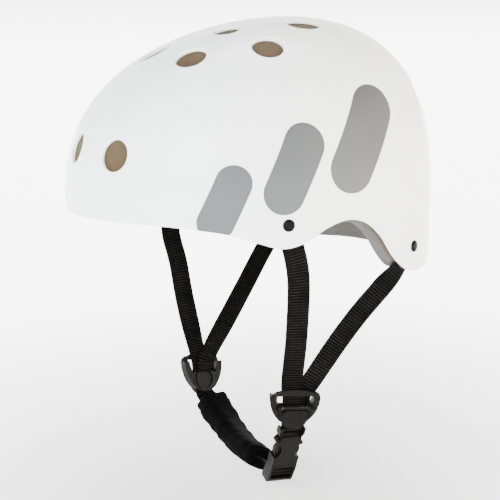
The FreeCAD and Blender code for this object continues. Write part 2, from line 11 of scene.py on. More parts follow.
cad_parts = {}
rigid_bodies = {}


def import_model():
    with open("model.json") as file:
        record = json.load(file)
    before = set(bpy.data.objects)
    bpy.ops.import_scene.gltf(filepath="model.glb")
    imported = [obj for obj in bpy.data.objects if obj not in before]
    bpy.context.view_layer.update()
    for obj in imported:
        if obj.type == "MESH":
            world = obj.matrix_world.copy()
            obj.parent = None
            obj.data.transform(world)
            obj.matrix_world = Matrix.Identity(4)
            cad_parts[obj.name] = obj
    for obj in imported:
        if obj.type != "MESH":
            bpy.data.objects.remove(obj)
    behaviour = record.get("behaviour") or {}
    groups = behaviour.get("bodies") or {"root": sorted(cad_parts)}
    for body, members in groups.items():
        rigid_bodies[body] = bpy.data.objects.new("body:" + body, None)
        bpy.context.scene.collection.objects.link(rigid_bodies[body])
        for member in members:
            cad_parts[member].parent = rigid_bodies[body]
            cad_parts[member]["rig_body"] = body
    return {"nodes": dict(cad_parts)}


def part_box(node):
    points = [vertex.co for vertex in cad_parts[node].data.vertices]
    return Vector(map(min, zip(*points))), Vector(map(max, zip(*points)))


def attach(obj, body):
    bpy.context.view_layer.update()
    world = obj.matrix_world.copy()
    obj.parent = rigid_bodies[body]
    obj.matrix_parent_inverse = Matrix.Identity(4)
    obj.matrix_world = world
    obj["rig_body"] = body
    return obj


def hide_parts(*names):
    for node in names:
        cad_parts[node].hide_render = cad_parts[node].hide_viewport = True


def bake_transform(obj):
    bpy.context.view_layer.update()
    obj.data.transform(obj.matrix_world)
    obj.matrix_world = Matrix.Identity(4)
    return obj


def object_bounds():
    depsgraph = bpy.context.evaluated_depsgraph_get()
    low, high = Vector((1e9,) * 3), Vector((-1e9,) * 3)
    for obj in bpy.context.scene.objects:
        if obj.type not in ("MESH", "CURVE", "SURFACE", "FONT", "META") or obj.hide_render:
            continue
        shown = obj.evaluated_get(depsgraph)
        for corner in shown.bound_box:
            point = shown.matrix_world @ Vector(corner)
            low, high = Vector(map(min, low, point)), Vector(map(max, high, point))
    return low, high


# A water-sports helmet: the looks of each piece, built round the CAD frame. The wearer faces -Y,
# +X is the wearer's left, +Z is up. Shapes are worked out in millimetres and built in metres.

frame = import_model()
cad_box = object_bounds()
MM = 0.001

# -------- dimensions, in millimetres

shell_low, shell_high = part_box("outer_shell")
HALF_WIDTH = shell_high.x / MM
FRONT_REACH = -shell_low.y / MM
REAR_REACH = shell_high.y / MM
CROWN_HEIGHT = shell_high.z / MM
SKIRT_STEP = 1.6            # drop of the skirt for each unit of the surface map

# exponents of the shell's curves: its plan, its profile's fullness and its profile's crown
FRONT_CURVE = (2.29, 2.52, 1.77)
REAR_CURVE = (2.15, 3.05, 2.3)
SIDE_FULLNESS, SIDE_CROWN = 2.46, 2.14

SHELL_WALL = 3.0
BACKING_TOP, BACKING_WALL = 3.2, 2.8
LINER_TOP, LINER_WALL = 6.2, 17.8
VENT_RADIUS = 11.0
LONG_VENT = 14.0
VENT_EDGE = 1.3             # rounding of the vents' outer edge
RIM_EDGE = 1.2

WEB_WIDTH = 16.0
WEB_THICKNESS = 1.4
WEB_INSET = 4.6
RIB_PERIOD = 2.25
RIB_CREST, RIB_DIP = 1.12, 0.62      # of the webbing's thickness
EDGE_DIP = 0.3
RELIEF = 1.5
STRAP_TURN = 0.32
FREE_START = 4              # strap route points that lie inside the foams or at their edge

FRONT_RIVET = (-49.4, -3.4)
REAR_RIVET = (57.1, -27.9)
RIVET_HEAD_RADIUS = 4.3
RIVET_HEAD_HEIGHT = 2.0

RIM_OUTLINE = [(-180, -1.8), (-134, -2.4), (-107, -5.4), (-88, -8.8), (-70, -14.8),
               (-52, -19.6), (-36, -16.0), (-21, -7.4), (-3, -2.6), (12, -7.2), (23, -17.2),
               (33, -30.6), (45, -41.6), (63, -47.0), (85, -45.8), (125, -41.0)]
EAR_START, EAR_END = -30, 60
LINER_DROP = 2.6
BACKING_DROP = 0.5
FOAM_RISE = 0.8

BUCKLE_DROP = 35.0
WEB_BAR_DOWN = 2.2
WEB_BAR_RADIUS = 1.3

SLEEVE_WIDTH = 30.5
SLEEVE_THICKNESS = 19.0
SLEEVE_LUMPS, SLEEVE_WAVES = 0.009, 12
TUCK_DEPTH, TUCK_PLACE, TUCK_WIDTH = 0.9, 5.0, 1.1      # the seam near each end of the sleeve

# the divider ring's shoulders: how far they slope, and where they start, in its own axes
SHOULDER_DOWN = 5.2
SHOULDER_ACROSS = 14.6
SHOULDER_DEPTH = 5.3
BAR_BACK = 1.85

PIPING_RADIUS = 0.9
PAD_SLACK = 0.5             # room for the pads' cloth to swell into
PAD_SWELL = 2.0             # most that the cloth may move

# -------- camera and light, in metres

CAMERA_AZIMUTH, CAMERA_ELEVATION, CAMERA_ROLL = 65.55, 10.81, -0.34        # degrees
CAMERA_RIGHT, CAMERA_UP, CAMERA_AWAY = -0.02517, -0.04231, 0.8
LENS, SENSOR = 73.42, 36.0                                                 # millimetres

FLOOR_FLAT, FLOOR_SWEEP, FLOOR_WALL = 1.9, 1.1, 1.3
FLOOR_GAP = 0.026           # room under the helmet for the opened buckle
GLOW_START, GLOW_END, GLOW = 0.12, 0.85, 5.2        # distances, and strength
GLOW_FADE, GLOW_TOP = 0.10, 0.45                    # heights between which the glow fades
SKY_COLOUR, SKY_STRENGTH = (0.97, 0.98, 1.0, 1), 0.7
# name: place, target, size, power in watts, colour
LIGHTS = {
    "key": ((1.75, -1.35, 1.0), (0, 0, 0), (1.1, 1.1), 92, (1.0, 0.99, 0.975)),
    "side": ((1.6, 0.9, 0.4), (0, 0, -0.05), (0.8, 1.2), 9, (1.0, 0.95, 0.88)),
    "top": ((-0.2, 0.2, 1.7), (0, 0, 0), (0.8, 0.8), 22, (0.97, 0.99, 1.0)),
}

# slanted bars of the plain side graphic: start and end as y and z, and half width, in millimetres
GRAPHIC_BARS = [((-97, 0), (-85, 26), 12.0), ((-52, 18), (-36, 50), 14.5),
                ((-2, 32), (20, 72), 16.5)]

# finishes, in metres: the print's crispness and its place, and the weave's two periods
PRINT_SHARPNESS = 6000.0
PRINT_INBOARD = 0.055
CORD_PERIOD, PICK_PERIOD = 0.0011, 0.00055


# -------- the shell's surface

def reaches(lift, front):
    """Half length, half width and plan exponent of the shell at a height, as a share of the crown's."""
    reach = np.where(front, FRONT_REACH, REAR_REACH)
    plan, fullness, crown = (np.where(front, a, b) for a, b in zip(FRONT_CURVE, REAR_CURVE))
    along = reach * (1 - lift ** fullness) ** (1 / crown)
    across = HALF_WIDTH * (1 - lift ** SIDE_FULLNESS) ** (1 / SIDE_CROWN)
    return along, across, plan


def outside(u, v):
    """Points of the shell's outside from a flat map whose middle is the crown: 90 units out is the
    rim's level, and the skirt hangs straight down beyond it."""
    away = np.hypot(u, v)
    turn = np.arctan2(v, u)
    c = np.cos(turn)
    s = np.sin(turn)
    lift = np.sin(np.radians(np.clip(90 - away, 0, 90)))
    along, across, plan = reaches(lift, s < 0)
    r = (np.abs(c) ** plan + np.abs(s) ** plan) ** (-1 / plan)
    z = CROWN_HEIGHT * lift - np.clip(away - 90, 0, None) * SKIRT_STEP
    return np.stack([across * r * c, along * r * s, z], -1)


def map_of(points):
    """Place on the flat map of points on the shell's outside."""
    x, y, z = points[:, 0], points[:, 1], points[:, 2]
    lift = np.clip(z / CROWN_HEIGHT, 0, 0.999999)
    along, across, _ = reaches(lift, y < 0)
    turn = np.arctan2(y / along, x / across)
    away = 90 - np.degrees(np.arcsin(lift)) + np.clip(-z, 0, None) / SKIRT_STEP
    return np.stack([away * np.cos(turn), away * np.sin(turn)], -1)


def normals_at(u, v):
    step = 0.03
    du = outside(u + step, v) - outside(u - step, v)
    dv = outside(u, v + step) - outside(u, v - step)
    normal = np.cross(du, dv)
    return normal / np.linalg.norm(normal, axis=-1, keepdims=True)


def surface(places, inset):
    """Points and outward normals of the shell's outside, moved in by inset."""
    u, v = places[:, 0], places[:, 1]
    normal = normals_at(u, v)
    return outside(u, v) - normal * inset, normal


def fill(points):
    """Below 1 inside the shell's outside, above 1 beyond it."""
    x, y, z = points[..., 0], points[..., 1], points[..., 2]
    lift = np.clip(z / CROWN_HEIGHT, 0, 0.99999)
    along, across, plan = reaches(lift, y < 0)
    return (np.abs(x) / across) ** plan + (np.abs(y) / along) ** plan + 9 * (z > CROWN_HEIGHT)


def onto_shell(points, axis, reach=25.0):
    """Points moved along axis until they lie on the shell's outside."""
    near = np.full(len(points), -reach)
    far = np.full(len(points), reach)
    for _ in range(45):
        middle = (near + far) / 2
        inner = fill(points + middle[:, None] * axis) < 1
        near = np.where(inner, middle, near)
        far = np.where(inner, far, middle)
    return points + near[:, None] * axis


def on_shell(point):
    """Point where the line from inside the dome through point meets the shell's outside."""
    point = np.array(point, float)
    centre = np.array([0, point[1] * 0.3, min(point[2], 40) * 0.5])
    ray = point - centre
    return onto_shell(point[None], ray / np.linalg.norm(ray), 60.0)[0]


def outward_at(point):
    place = map_of(np.array(point, float)[None])
    return normals_at(place[:, 0], place[:, 1])[0]


def rim_height(y, ear_drop, rise):
    """Height of the rim seen from the side, on a smooth curve through its outline."""
    ys = np.array([p[0] for p in RIM_OUTLINE], float)
    zs = np.array([p[1] - ear_drop if EAR_START < p[0] < EAR_END else p[1] + rise
                   for p in RIM_OUTLINE], float)
    slopes = np.gradient(zs, ys)
    k = np.clip(np.searchsorted(ys, y) - 1, 0, len(ys) - 2)
    gap = ys[k + 1] - ys[k]
    t = (y - ys[k]) / gap
    start = (1 + 2 * t) * (1 - t) ** 2 * zs[k] + t * (1 - t) ** 2 * gap * slopes[k]
    end = t ** 2 * (3 - 2 * t) * zs[k + 1] + t ** 2 * (t - 1) * gap * slopes[k + 1]
    return start + end


def quarter(count):
    return [math.radians(90 * i / count) for i in range(count + 1)]


def rim_rings(inset, wall, edge, ear_drop, rise, count):
    """Closed rings over a sheet's rounded rim, from its outer face to its inner face."""
    turn = circle(count)
    place = np.stack([90 * np.cos(turn), 90 * np.sin(turn)], -1)
    steps = [(edge * (1 - math.cos(a)), edge * (1 - math.sin(a))) for a in quarter(4)]
    steps += [(wall - edge * (1 - math.sin(a)), edge * (1 - math.cos(a))) for a in quarter(4)]
    rings = []
    for depth, lift in steps:
        points, normal = surface(place, inset + depth)
        points[:, 2] = rim_height(points[:, 1], ear_drop, rise)
        along = np.roll(points, -1, 0) - np.roll(points, 1, 0)
        upward = unit_rows(np.cross(normal, along))
        upward *= np.sign(upward[:, 2:3])
        rings.append(points + upward * lift)
    return rings


def vents():
    """Centre, axis and half axes of every vent: those off the mid-plane are on both sides."""
    places = [
        ((0, -163, 45), VENT_RADIUS, VENT_RADIUS),
        ((50, -151, 43), VENT_RADIUS, VENT_RADIUS),
        ((0, -101, 112), LONG_VENT, VENT_RADIUS),
        ((46, -93, 108), VENT_RADIUS, VENT_RADIUS),
        ((28, -58, 126), 9.5, 9.5),
        ((65, -43, 114), VENT_RADIUS, VENT_RADIUS),
        ((41, -3, 131), 13.0, 10.0),
        ((0, 92, 84), VENT_RADIUS, VENT_RADIUS),
        ((52, 82, 78), VENT_RADIUS, VENT_RADIUS),
    ]
    found = []
    for point, long_half, short_half in places:
        sides = (1,) if point[0] == 0 else (1, -1)
        for side in sides:
            centre = on_shell((point[0] * side, point[1], point[2]))
            axis = outward_at(centre)
            across = np.cross((0, 1, 0), axis)
            across /= np.linalg.norm(across)
            found.append((centre, axis, np.cross(axis, across), -across, long_half, short_half))
    return found


def vent_rings(vent, wall, edge, count):
    """Closed rings down a vent's wall, from the outer face over its rounded edge to the inner face."""
    centre, axis, long_way, short_way, long_half, short_half = vent
    turn = circle(count)
    inner_edge = 0.4
    steps = [(edge * (1 - math.sin(a)), edge * (1 - math.cos(a))) for a in quarter(5)]
    steps += [(inner_edge * (1 - math.cos(a)), wall - inner_edge * (1 - math.sin(a)))
              for a in quarter(3)]
    rings = []
    for grow, depth in steps:
        ring = centre + np.outer((long_half + grow) * np.cos(turn), long_way)
        ring = ring + np.outer((short_half + grow) * np.sin(turn), short_way)
        rings.append(onto_shell(ring, axis) - axis * depth)
    return rings


def star_radius(loop, middle):
    """Distance from middle to a loop on the flat map, as a function of the direction."""
    offset = loop - middle
    turn = np.arctan2(offset[:, 1], offset[:, 0])
    order = np.argsort(turn)
    turn = turn[order]
    reach = np.hypot(offset[order, 0], offset[order, 1])

    def radius(points):
        away = points - middle
        return np.interp(np.arctan2(away[:, 1], away[:, 0]), turn, reach, period=2 * math.pi)

    return radius


def map_triangles(loops, spacing):
    """Even triangles inside the first loop and outside the others. Returns the map places, the
    loops' own ones first, and the triangles."""
    limit = np.hypot(*loops[0].T).max()
    rows = np.arange(-limit, limit, spacing * 0.866)
    grid = np.array([(x + (i % 2) * spacing / 2, y) for i, y in enumerate(rows)
                     for x in np.arange(-limit, limit, spacing)])
    tests = [(np.zeros(2), star_radius(loops[0], np.zeros(2)))]
    tests += [(loop.mean(0), star_radius(loop, loop.mean(0))) for loop in loops[1:]]

    def allowed(points, margin):
        keep = np.ones(len(points), bool)
        for i, (middle, radius) in enumerate(tests):
            away = np.hypot(*(points - middle).T)
            edge = radius(points)
            keep &= (away < edge - margin) if i == 0 else (away > edge + margin)
        return keep

    grid = grid[allowed(grid, spacing * 0.55)]
    places = np.concatenate(loops + [grid])
    edges = []
    start = 0
    for loop in loops:
        count = len(loop)
        edges += [(start + i, start + (i + 1) % count) for i in range(count)]
        start += count
    flat = [Vector((float(x), float(y))) for x, y in places]
    found = delaunay_2d_cdt(flat, edges, [], 0, 1e-7)
    original = [ids[0] for ids in found[3]]
    triangles = np.array([[original[i] for i in face] for face in found[2]])
    middles = places[triangles].mean(1)
    return places, triangles[allowed(middles, 0.0)]


def sheet_mesh(name, inset, wall, rims, holes, spacing, inner_spacing):
    """Closed mesh of a curved sheet that follows the shell: rims and holes are lists of rings."""
    cuts = [rims] + holes
    verts, faces, normals = [], [], []
    starts = []
    total = 0
    for side, spread in ((0, spacing), (-1, inner_spacing)):
        deep = inset + (0 if side == 0 else wall)
        loops = []
        for rings in cuts:
            ring = rings[side]
            guess = map_of(ring)
            for _ in range(3):
                guess = map_of(ring + normals_at(guess[:, 0], guess[:, 1]) * deep)
            loops.append(guess)
        places, triangles = map_triangles(loops, spread)
        points, normal = surface(places, deep)
        lead = sum(len(loop) for loop in loops)
        points[:lead] = np.concatenate([rings[side] for rings in cuts])
        starts.append(total)
        verts.append(points)
        normals.append(normal if side == 0 else -normal)
        faces += (triangles + total if side == 0 else triangles[:, ::-1] + total).tolist()
        total += len(points)
    offset = 0
    for rings in cuts:
        count = len(rings[0])
        rows = [np.arange(count) + starts[0] + offset]
        for ring in rings[1:-1]:
            rows.append(np.arange(count) + total)
            verts.append(ring)
            normals.append(np.zeros((count, 3)))
            total += count
        rows.append(np.arange(count) + starts[1] + offset)
        for a, b in zip(rows, rows[1:]):
            faces += np.stack([a, np.roll(a, -1), np.roll(b, -1), b], 1).tolist()
        offset += count
    mesh = new_mesh(name, np.concatenate(verts), faces)
    known = np.concatenate(normals)
    own = np.zeros(len(mesh.vertices) * 3)
    mesh.vertices.foreach_get("normal", own)
    own = own.reshape(-1, 3)
    given = np.linalg.norm(known, axis=1) > 0.5
    own[given] = known[given]
    mesh.normals_split_custom_set_from_vertices(own.tolist())
    return mesh


# -------- meshes and objects

def new_mesh(name, points, faces):
    """Mesh from points in millimetres, with its faces turned outwards and shaded smooth."""
    mesh = bpy.data.meshes.new(name)
    mesh.from_pydata((np.array(points, float) * MM).tolist(), [], faces)
    bm = bmesh.new()
    bm.from_mesh(mesh)
    bmesh.ops.recalc_face_normals(bm, faces=bm.faces)
    bm.to_mesh(mesh)
    bm.free()
    mesh.shade_smooth()
    return mesh


def tube_faces(rows, count, first=True, last=True, ring=False):
    """Quads between rows of count points each, and a face over each end that is to be closed."""
    faces = []
    for i in range(rows if ring else rows - 1):
        a, b = i * count, (i + 1) % rows * count
        for k in range(count):
            j = (k + 1) % count
            faces.append([a + k, a + j, b + j, b + k])
    if first:
        faces.append(list(range(count))[::-1])
    if last:
        faces.append([(rows - 1) * count + k for k in range(count)])
    return faces


def circle(count):
    return np.linspace(0, 2 * math.pi, count, endpoint=False)


def unit_rows(vectors):
    return vectors / np.linalg.norm(vectors, axis=1, keepdims=True)


def run_along(line):
    """Distance from the first point to each point of a line."""
    return np.concatenate([[0], np.cumsum(np.linalg.norm(np.diff(line, axis=0), axis=1))])


def resampled(values, run, even):
    return np.stack([np.interp(even, run, values[:, i]) for i in range(3)], -1)


def new_object(name, data):
    made = bpy.data.objects.new(name, data)
    bpy.context.scene.collection.objects.link(made)
    return made


def add_piece(mesh, material, body, slot, *nodes):
    """Object of a mesh that rides on a body and stands for the given CAD nodes."""
    piece = new_object(mesh.name, mesh)
    piece.data.materials.clear()
    piece.data.materials.append(material)
    if body:
        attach(piece, body)
    if nodes:
        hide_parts(*nodes)
    return piece


# -------- materials

def node_material(name):
    """New material, with one helper that feeds its shader's sockets and one that adds nodes."""
    material = bpy.data.materials.new(name)
    material.use_nodes = True
    nodes = material.node_tree.nodes
    links = material.node_tree.links
    shader = nodes["Principled BSDF"]

    def feed(node, name, value):
        if isinstance(value, bpy.types.NodeSocket):
            links.new(value, node.inputs[name])
        else:
            node.inputs[name].default_value = value

    def put(name, value):
        feed(shader, name, value)

    def add(kind, inputs=(), **settings):
        node = nodes.new(kind)
        for key, value in settings.items():
            setattr(node, key, value)
        for name, value in dict(inputs).items():
            feed(node, name, value)
        return node

    return material, put, add


def place_of(add):
    """Coordinates at rest, in metres."""
    return add("ShaderNodeTexCoord").outputs["Object"]


def noise(add, vector, scale, detail=3.0, rough=0.55):
    return add("ShaderNodeTexNoise", {"Vector": vector, "Scale": scale, "Detail": detail,
                                      "Roughness": rough}).outputs["Fac"]


def ramp(add, fac, stops):
    """Colour ramp through (position, colour) stops."""
    node = add("ShaderNodeValToRGB", {"Fac": fac})
    elements = node.color_ramp.elements
    while len(elements) < len(stops):
        elements.new(0.5)
    for element, (position, colour) in zip(elements, stops):
        element.position = position
        element.color = (*colour, 1)
    return node.outputs["Color"]


def maths(add, operation, *values):
    return add("ShaderNodeMath", dict(enumerate(values)), operation=operation).outputs[0]


def times(add, a, b):
    return maths(add, "MULTIPLY", a, b)


def scaled(add, value, factor, offset):
    return maths(add, "MULTIPLY_ADD", value, factor, offset)


def both(add, a, share_a, b, share_b):
    """Weighted sum of two values."""
    return maths(add, "MULTIPLY_ADD", b, share_b, times(add, a, share_a))


def clamped(add, value):
    return add("ShaderNodeClamp", {"Value": value}).outputs[0]


def mixed(add, fac, a, b):
    """Blend of two colours; the colour sockets of this node are the seventh and eighth."""
    return add("ShaderNodeMix", {0: fac, 6: a, 7: b}, data_type="RGBA").outputs[2]


def finish(put, specular, sheen=0.0, sheen_roughness=0.5):
    for name, value in (("Specular IOR Level", specular), ("Sheen Weight", sheen),
                        ("Sheen Roughness", sheen_roughness)):
        put(name, value)


def bump(add, height, distance, strength):
    return add("ShaderNodeBump", {"Height": height, "Distance": distance,
                                  "Strength": strength}).outputs["Normal"]


def capsule(add, y, z, start, end, radius):
    """1 inside a bar with round ends between two points of the side view, 0 outside."""
    span = (end[0] - start[0], end[1] - start[1])
    length2 = span[0] ** 2 + span[1] ** 2
    dy = maths(add, "SUBTRACT", y, start[0])
    dz = maths(add, "SUBTRACT", z, start[1])
    share = clamped(add, maths(add, "DIVIDE", both(add, dy, span[0], dz, span[1]), length2))
    ey = maths(add, "SUBTRACT", dy, times(add, share, span[0]))
    ez = maths(add, "SUBTRACT", dz, times(add, share, span[1]))
    square = maths(add, "MULTIPLY_ADD", ey, ey, times(add, ez, ez))
    edge = maths(add, "SUBTRACT", radius, maths(add, "SQRT", square))
    return clamped(add, times(add, edge, PRINT_SHARPNESS))


def shell_material():
    """Glossy moulded white plastic with printed grey bars on both sides, under painted shading that
    turns warmer towards the rear.
    """
    material, put, add = node_material("shell_plastic")
    place = place_of(add)
    parts = add("ShaderNodeSeparateXYZ", {"Vector": place})
    x, y, z = parts.outputs
    cloud = noise(add, place, 9.0, 2.0)
    # painted shading: cool at the front, turning warmer towards the rear, on the white and on the
    # print, plus random tone from the cloud noise
    painted_shading_and_tone = maths(add, "ADD", scaled(add, y, 4.0, 0.45), scaled(add, cloud, 0.25, -0.125))
    white = ramp(add, painted_shading_and_tone, [(0.0, (0.70, 0.73, 0.745)), (1.0, (0.73, 0.695, 0.62))])
    grey = ramp(add, painted_shading_and_tone, [(0.0, (0.044, 0.049, 0.055)), (1.0, (0.066, 0.059, 0.047))])
    print_mask = None
    for start, end, radius in GRAPHIC_BARS:
        bar = capsule(add, y, z, [c * MM for c in start], [c * MM for c in end], radius * MM)
        print_mask = bar if print_mask is None else maths(add, "MAXIMUM", print_mask, bar)
    on_side = maths(add, "GREATER_THAN", maths(add, "ABSOLUTE", x), PRINT_INBOARD)
    print_mask = times(add, print_mask, on_side)
    put("Base Color", mixed(add, print_mask, white, grey))
    peel = noise(add, place, 260.0, 2.0)
    smear = noise(add, place, 38.0, 4.0)
    gloss = maths(add, "MULTIPLY_ADD", print_mask, 0.10, scaled(add, smear, 0.12, 0.20))
    put("Roughness", gloss)
    raised = both(add, peel, 0.5, print_mask, 0.5)
    put("Normal", bump(add, raised, 0.00006, 0.6))
    for name, value in (("Subsurface Weight", 0.06), ("Subsurface Radius", (0.004, 0.0035, 0.003)),
                        ("Subsurface Scale", 1.0), ("Specular IOR Level", 0.3),
                        ("Coat Weight", 0.12), ("Coat Roughness", 0.12)):
        put(name, value)
    return material


def foam_material(name, dark, light, cell_scale, skin):
    """Closed-cell foam: a mottled colour with fine open cells; skin is how closed its surface is."""
    material, put, add = node_material(name)
    place = place_of(add)
    patches = noise(add, place, 45.0, 4.0)
    cells = add("ShaderNodeTexVoronoi", {"Vector": place, "Scale": cell_scale}).outputs["Distance"]
    grain = noise(add, place, cell_scale * 2.2, 3.0)
    shade = both(add, patches, 0.6, grain, 0.4)
    put("Base Color", ramp(add, shade, [(0.3, dark), (0.7, light)]))
    put("Roughness", scaled(add, grain, -0.22, 0.94))
    height = both(add, cells, 0.7, grain, 0.3)
    put("Normal", bump(add, height, 0.0004 * (1 - skin) + 0.0001, 0.8))
    finish(put, 0.2, 0.02, 0.6)
    return material


def plastic_material(name, colour, edge_wear_and_highlight):
    """Satin moulded plastic with a fine spark texture, and paler edges that are partly rubbed wear and
    partly a painted highlight.
    """
    material, put, add = node_material(name)
    place = place_of(add)
    flow = noise(add, place, 120.0, 4.0)
    grain = noise(add, place, 3200.0, 2.0)
    pointy = add("ShaderNodeNewGeometry").outputs["Pointiness"]
    # paler sharp edges: partly rubbed wear, partly a painted highlight
    edge_mask = ramp(add, pointy, [(0.52, (0, 0, 0)), (0.60, (1, 1, 1))])
    worn_and_highlit = times(add, edge_mask, flow)
    base = ramp(add, flow, [(0.3, [c * 0.8 for c in colour]), (0.7, [c * 1.25 for c in colour])])
    rubbed_and_highlight_colour = [c * 3 + 0.006 for c in colour] + [1]
    put("Base Color", mixed(add, times(add, worn_and_highlit, edge_wear_and_highlight), base, rubbed_and_highlight_colour))
    put("Roughness", scaled(add, flow, 0.2, 0.33))
    put("Normal", bump(add, grain, 0.00004, 0.5))
    finish(put, 0.07)
    return material


def webbing_material():
    """Black woven nylon: warp cords along the strap between raised ribs across it, with painted
    highlights on the ribs' crests.
    """
    material, put, add = node_material("webbing")
    place = add("ShaderNodeUVMap", uv_map="weave").outputs["UV"]
    parts = add("ShaderNodeSeparateXYZ", {"Vector": place})
    across, along = parts.outputs[0], parts.outputs[1]
    cords = maths(add, "SINE", times(add, across, 2 * math.pi / CORD_PERIOD))
    picks = maths(add, "SINE", times(add, along, 2 * math.pi / PICK_PERIOD))
    weave = times(add, cords, picks)
    fuzz = noise(add, place_of(add), 2600.0, 3.0)
    dirt = noise(add, place_of(add), 60.0, 3.0)
    height = maths(add, "MULTIPLY_ADD", weave, 0.5, fuzz)
    rib = maths(add, "COSINE", times(add, along, 2 * math.pi / (RIB_PERIOD * MM)))
    crest_highlight = scaled(add, rib, -0.5, 0.5)
    wear = both(add, fuzz, 0.7, dirt, 0.6)
    # painted highlight on the rib crests and painted shade in the grooves, mottled by the random fuzz
    # and dirt noise
    shade = times(add, maths(add, "POWER", crest_highlight, 2.6), wear)
    put("Base Color", ramp(add, shade, [(0.22, (0.0001, 0.0001, 0.0001)),
                                        (0.42, (0.0013, 0.0012, 0.0011)),
                                        (0.66, (0.013, 0.0122, 0.0112))]))
    put("Roughness", scaled(add, fuzz, 0.25, 0.48))
    put("Normal", bump(add, height, 0.00016, 0.8))
    finish(put, 0.025, 0.004, 0.4)
    return material


def fabric_material(name, dark, light, cell, sheen):
    """Knitted fabric: small staggered loops, a soft nap and a slightly mottled colour."""
    material, put, add = node_material(name)
    place = place_of(add)
    loops = add("ShaderNodeTexVoronoi", {"Vector": place, "Scale": cell, "Randomness": 0.35})
    fuzz = noise(add, place, cell * 1.7, 3.0)
    cloud = noise(add, place, 35.0, 4.0)
    shade = both(add, cloud, 0.6, loops.outputs["Distance"], 0.6)
    put("Base Color", ramp(add, shade, [(0.3, dark), (0.75, light)]))
    put("Roughness", scaled(add, fuzz, -0.2, 0.95))
    height = maths(add, "MULTIPLY_ADD", fuzz, 0.6, loops.outputs["Distance"])
    put("Normal", bump(add, height, 0.0003, 0.9))
    finish(put, 0.02, sheen)
    return material


def metal_material(name, colour, roughness, metallic):
    """Fine turned or painted metal with small scratches."""
    material, put, add = node_material(name)
    put("Metallic", metallic)
    place = place_of(add)
    scratch = noise(add, place, 900.0, 5.0, 0.7)
    cloud = noise(add, place, 150.0, 3.0)
    dark, light = [c * 0.85 for c in colour], [c * 1.15 for c in colour]
    put("Base Color", ramp(add, cloud, [(0.3, dark), (0.7, light)]))
    put("Roughness", scaled(add, scratch, 0.16, roughness - 0.06))
    put("Normal", bump(add, scratch, 0.00002, 0.5))
    if not metallic:
        finish(put, 0.045)
    return material


def stepped(add, value, limits, results):
    """Smooth step of a value from one limit to the other."""
    node = add("ShaderNodeMapRange", {"Value": value, "From Min": limits[0], "From Max": limits[1],
                                      "To Min": results[0], "To Max": results[1]},
               interpolation_type="SMOOTHSTEP")
    return node.outputs["Result"]


def floor_material():
    """Pale matte paper, lit from behind like a light box away from the helmet."""
    material, put, add = node_material("pale_floor")
    put("Roughness", 0.9)
    place = place_of(add)
    cloud = noise(add, place, 3.0, 3.0)
    put("Base Color", ramp(add, cloud, [(0.2, (0.90, 0.90, 0.895)), (0.8, (0.93, 0.93, 0.925))]))
    away = add("ShaderNodeVectorMath", {0: place}, operation="LENGTH").outputs["Value"]
    height = add("ShaderNodeSeparateXYZ", {"Vector": place}).outputs[2]
    glow = stepped(add, away, (GLOW_START, GLOW_END), (0.0, GLOW))
    fade = stepped(add, height, (GLOW_FADE, GLOW_TOP), (1.0, 0.0))
    put("Emission Color", (1.0, 1.0, 1.0, 1))
    put("Emission Strength", times(add, glow, fade))
    return material


SHELL_WHITE = shell_material()
TAN_FOAM = foam_material("tan_foam", (0.031, 0.0195, 0.0082), (0.078, 0.053, 0.026), 900.0, 0.2)
GREY_FOAM = foam_material("grey_foam", (0.050, 0.048, 0.044), (0.085, 0.081, 0.074), 1400.0, 0.9)
BLACK_PLASTIC = plastic_material("black_plastic", (0.0021, 0.0019, 0.0016), 0.8)
WEBBING = webbing_material()
PAD_FABRIC = fabric_material("pad_fabric", (0.006, 0.006, 0.007), (0.024, 0.024, 0.026), 1100.0, 0.12)
SLEEVE_FABRIC = fabric_material("sleeve_fabric", (0.0003, 0.0003, 0.00035),
                                (0.0014, 0.0014, 0.0016), 1500.0, 0.002)
HOOK_TAPE = fabric_material("hook_tape", (0.01, 0.01, 0.01), (0.03, 0.03, 0.03), 1800.0, 0.2)
RIVET_BLACK = metal_material("rivet_black", (0.001, 0.001, 0.001), 0.22, 0.0)
WASHER_STEEL = metal_material("washer_steel", (0.56, 0.56, 0.57), 0.32, 1.0)


# -------- local axes of dividers and buckle

class Axes:
    """Local axes of a divider or of the buckle, in millimetres: across, down, and out of the helmet."""

    def __init__(self, origin, down, across, out_hint):
        self.origin = Vector(origin)
        self.down = Vector(down).normalized()
        across = Vector(across)
        self.across = (across - self.down * self.down.dot(across)).normalized()
        self.out = self.across.cross(self.down)
        if self.out.dot(out_hint) < 0:
            self.across.negate()
            self.out.negate()
        self.rearward = 1 if self.across.y > 0 else -1

    def point(self, across, down, out):
        return self.origin + self.across * across + self.down * down + self.out * out


LEFT, RIGHT = Vector((1, 0, 0)), Vector((-1, 0, 0))
LEFT_DIVIDER = Axes((72.3, -24.8, -133.5), (-0.33, 0.09, -0.94), (0.3, 0.94, -0.1), LEFT)
RIGHT_DIVIDER = Axes((-69.6, -43.0, -143.0), (0.33, -0.05, -0.94), (-0.2, 0.96, -0.12), RIGHT)
BUCKLE = Axes(LEFT_DIVIDER.point(0, BUCKLE_DROP, 0), (-0.33, -0.09, -0.94), (0, 0.995, -0.095), LEFT)


# -------- webbing

def between(first, second, start, end, x):
    return (first * (end - x) + second * (x - start)) / (end - start)


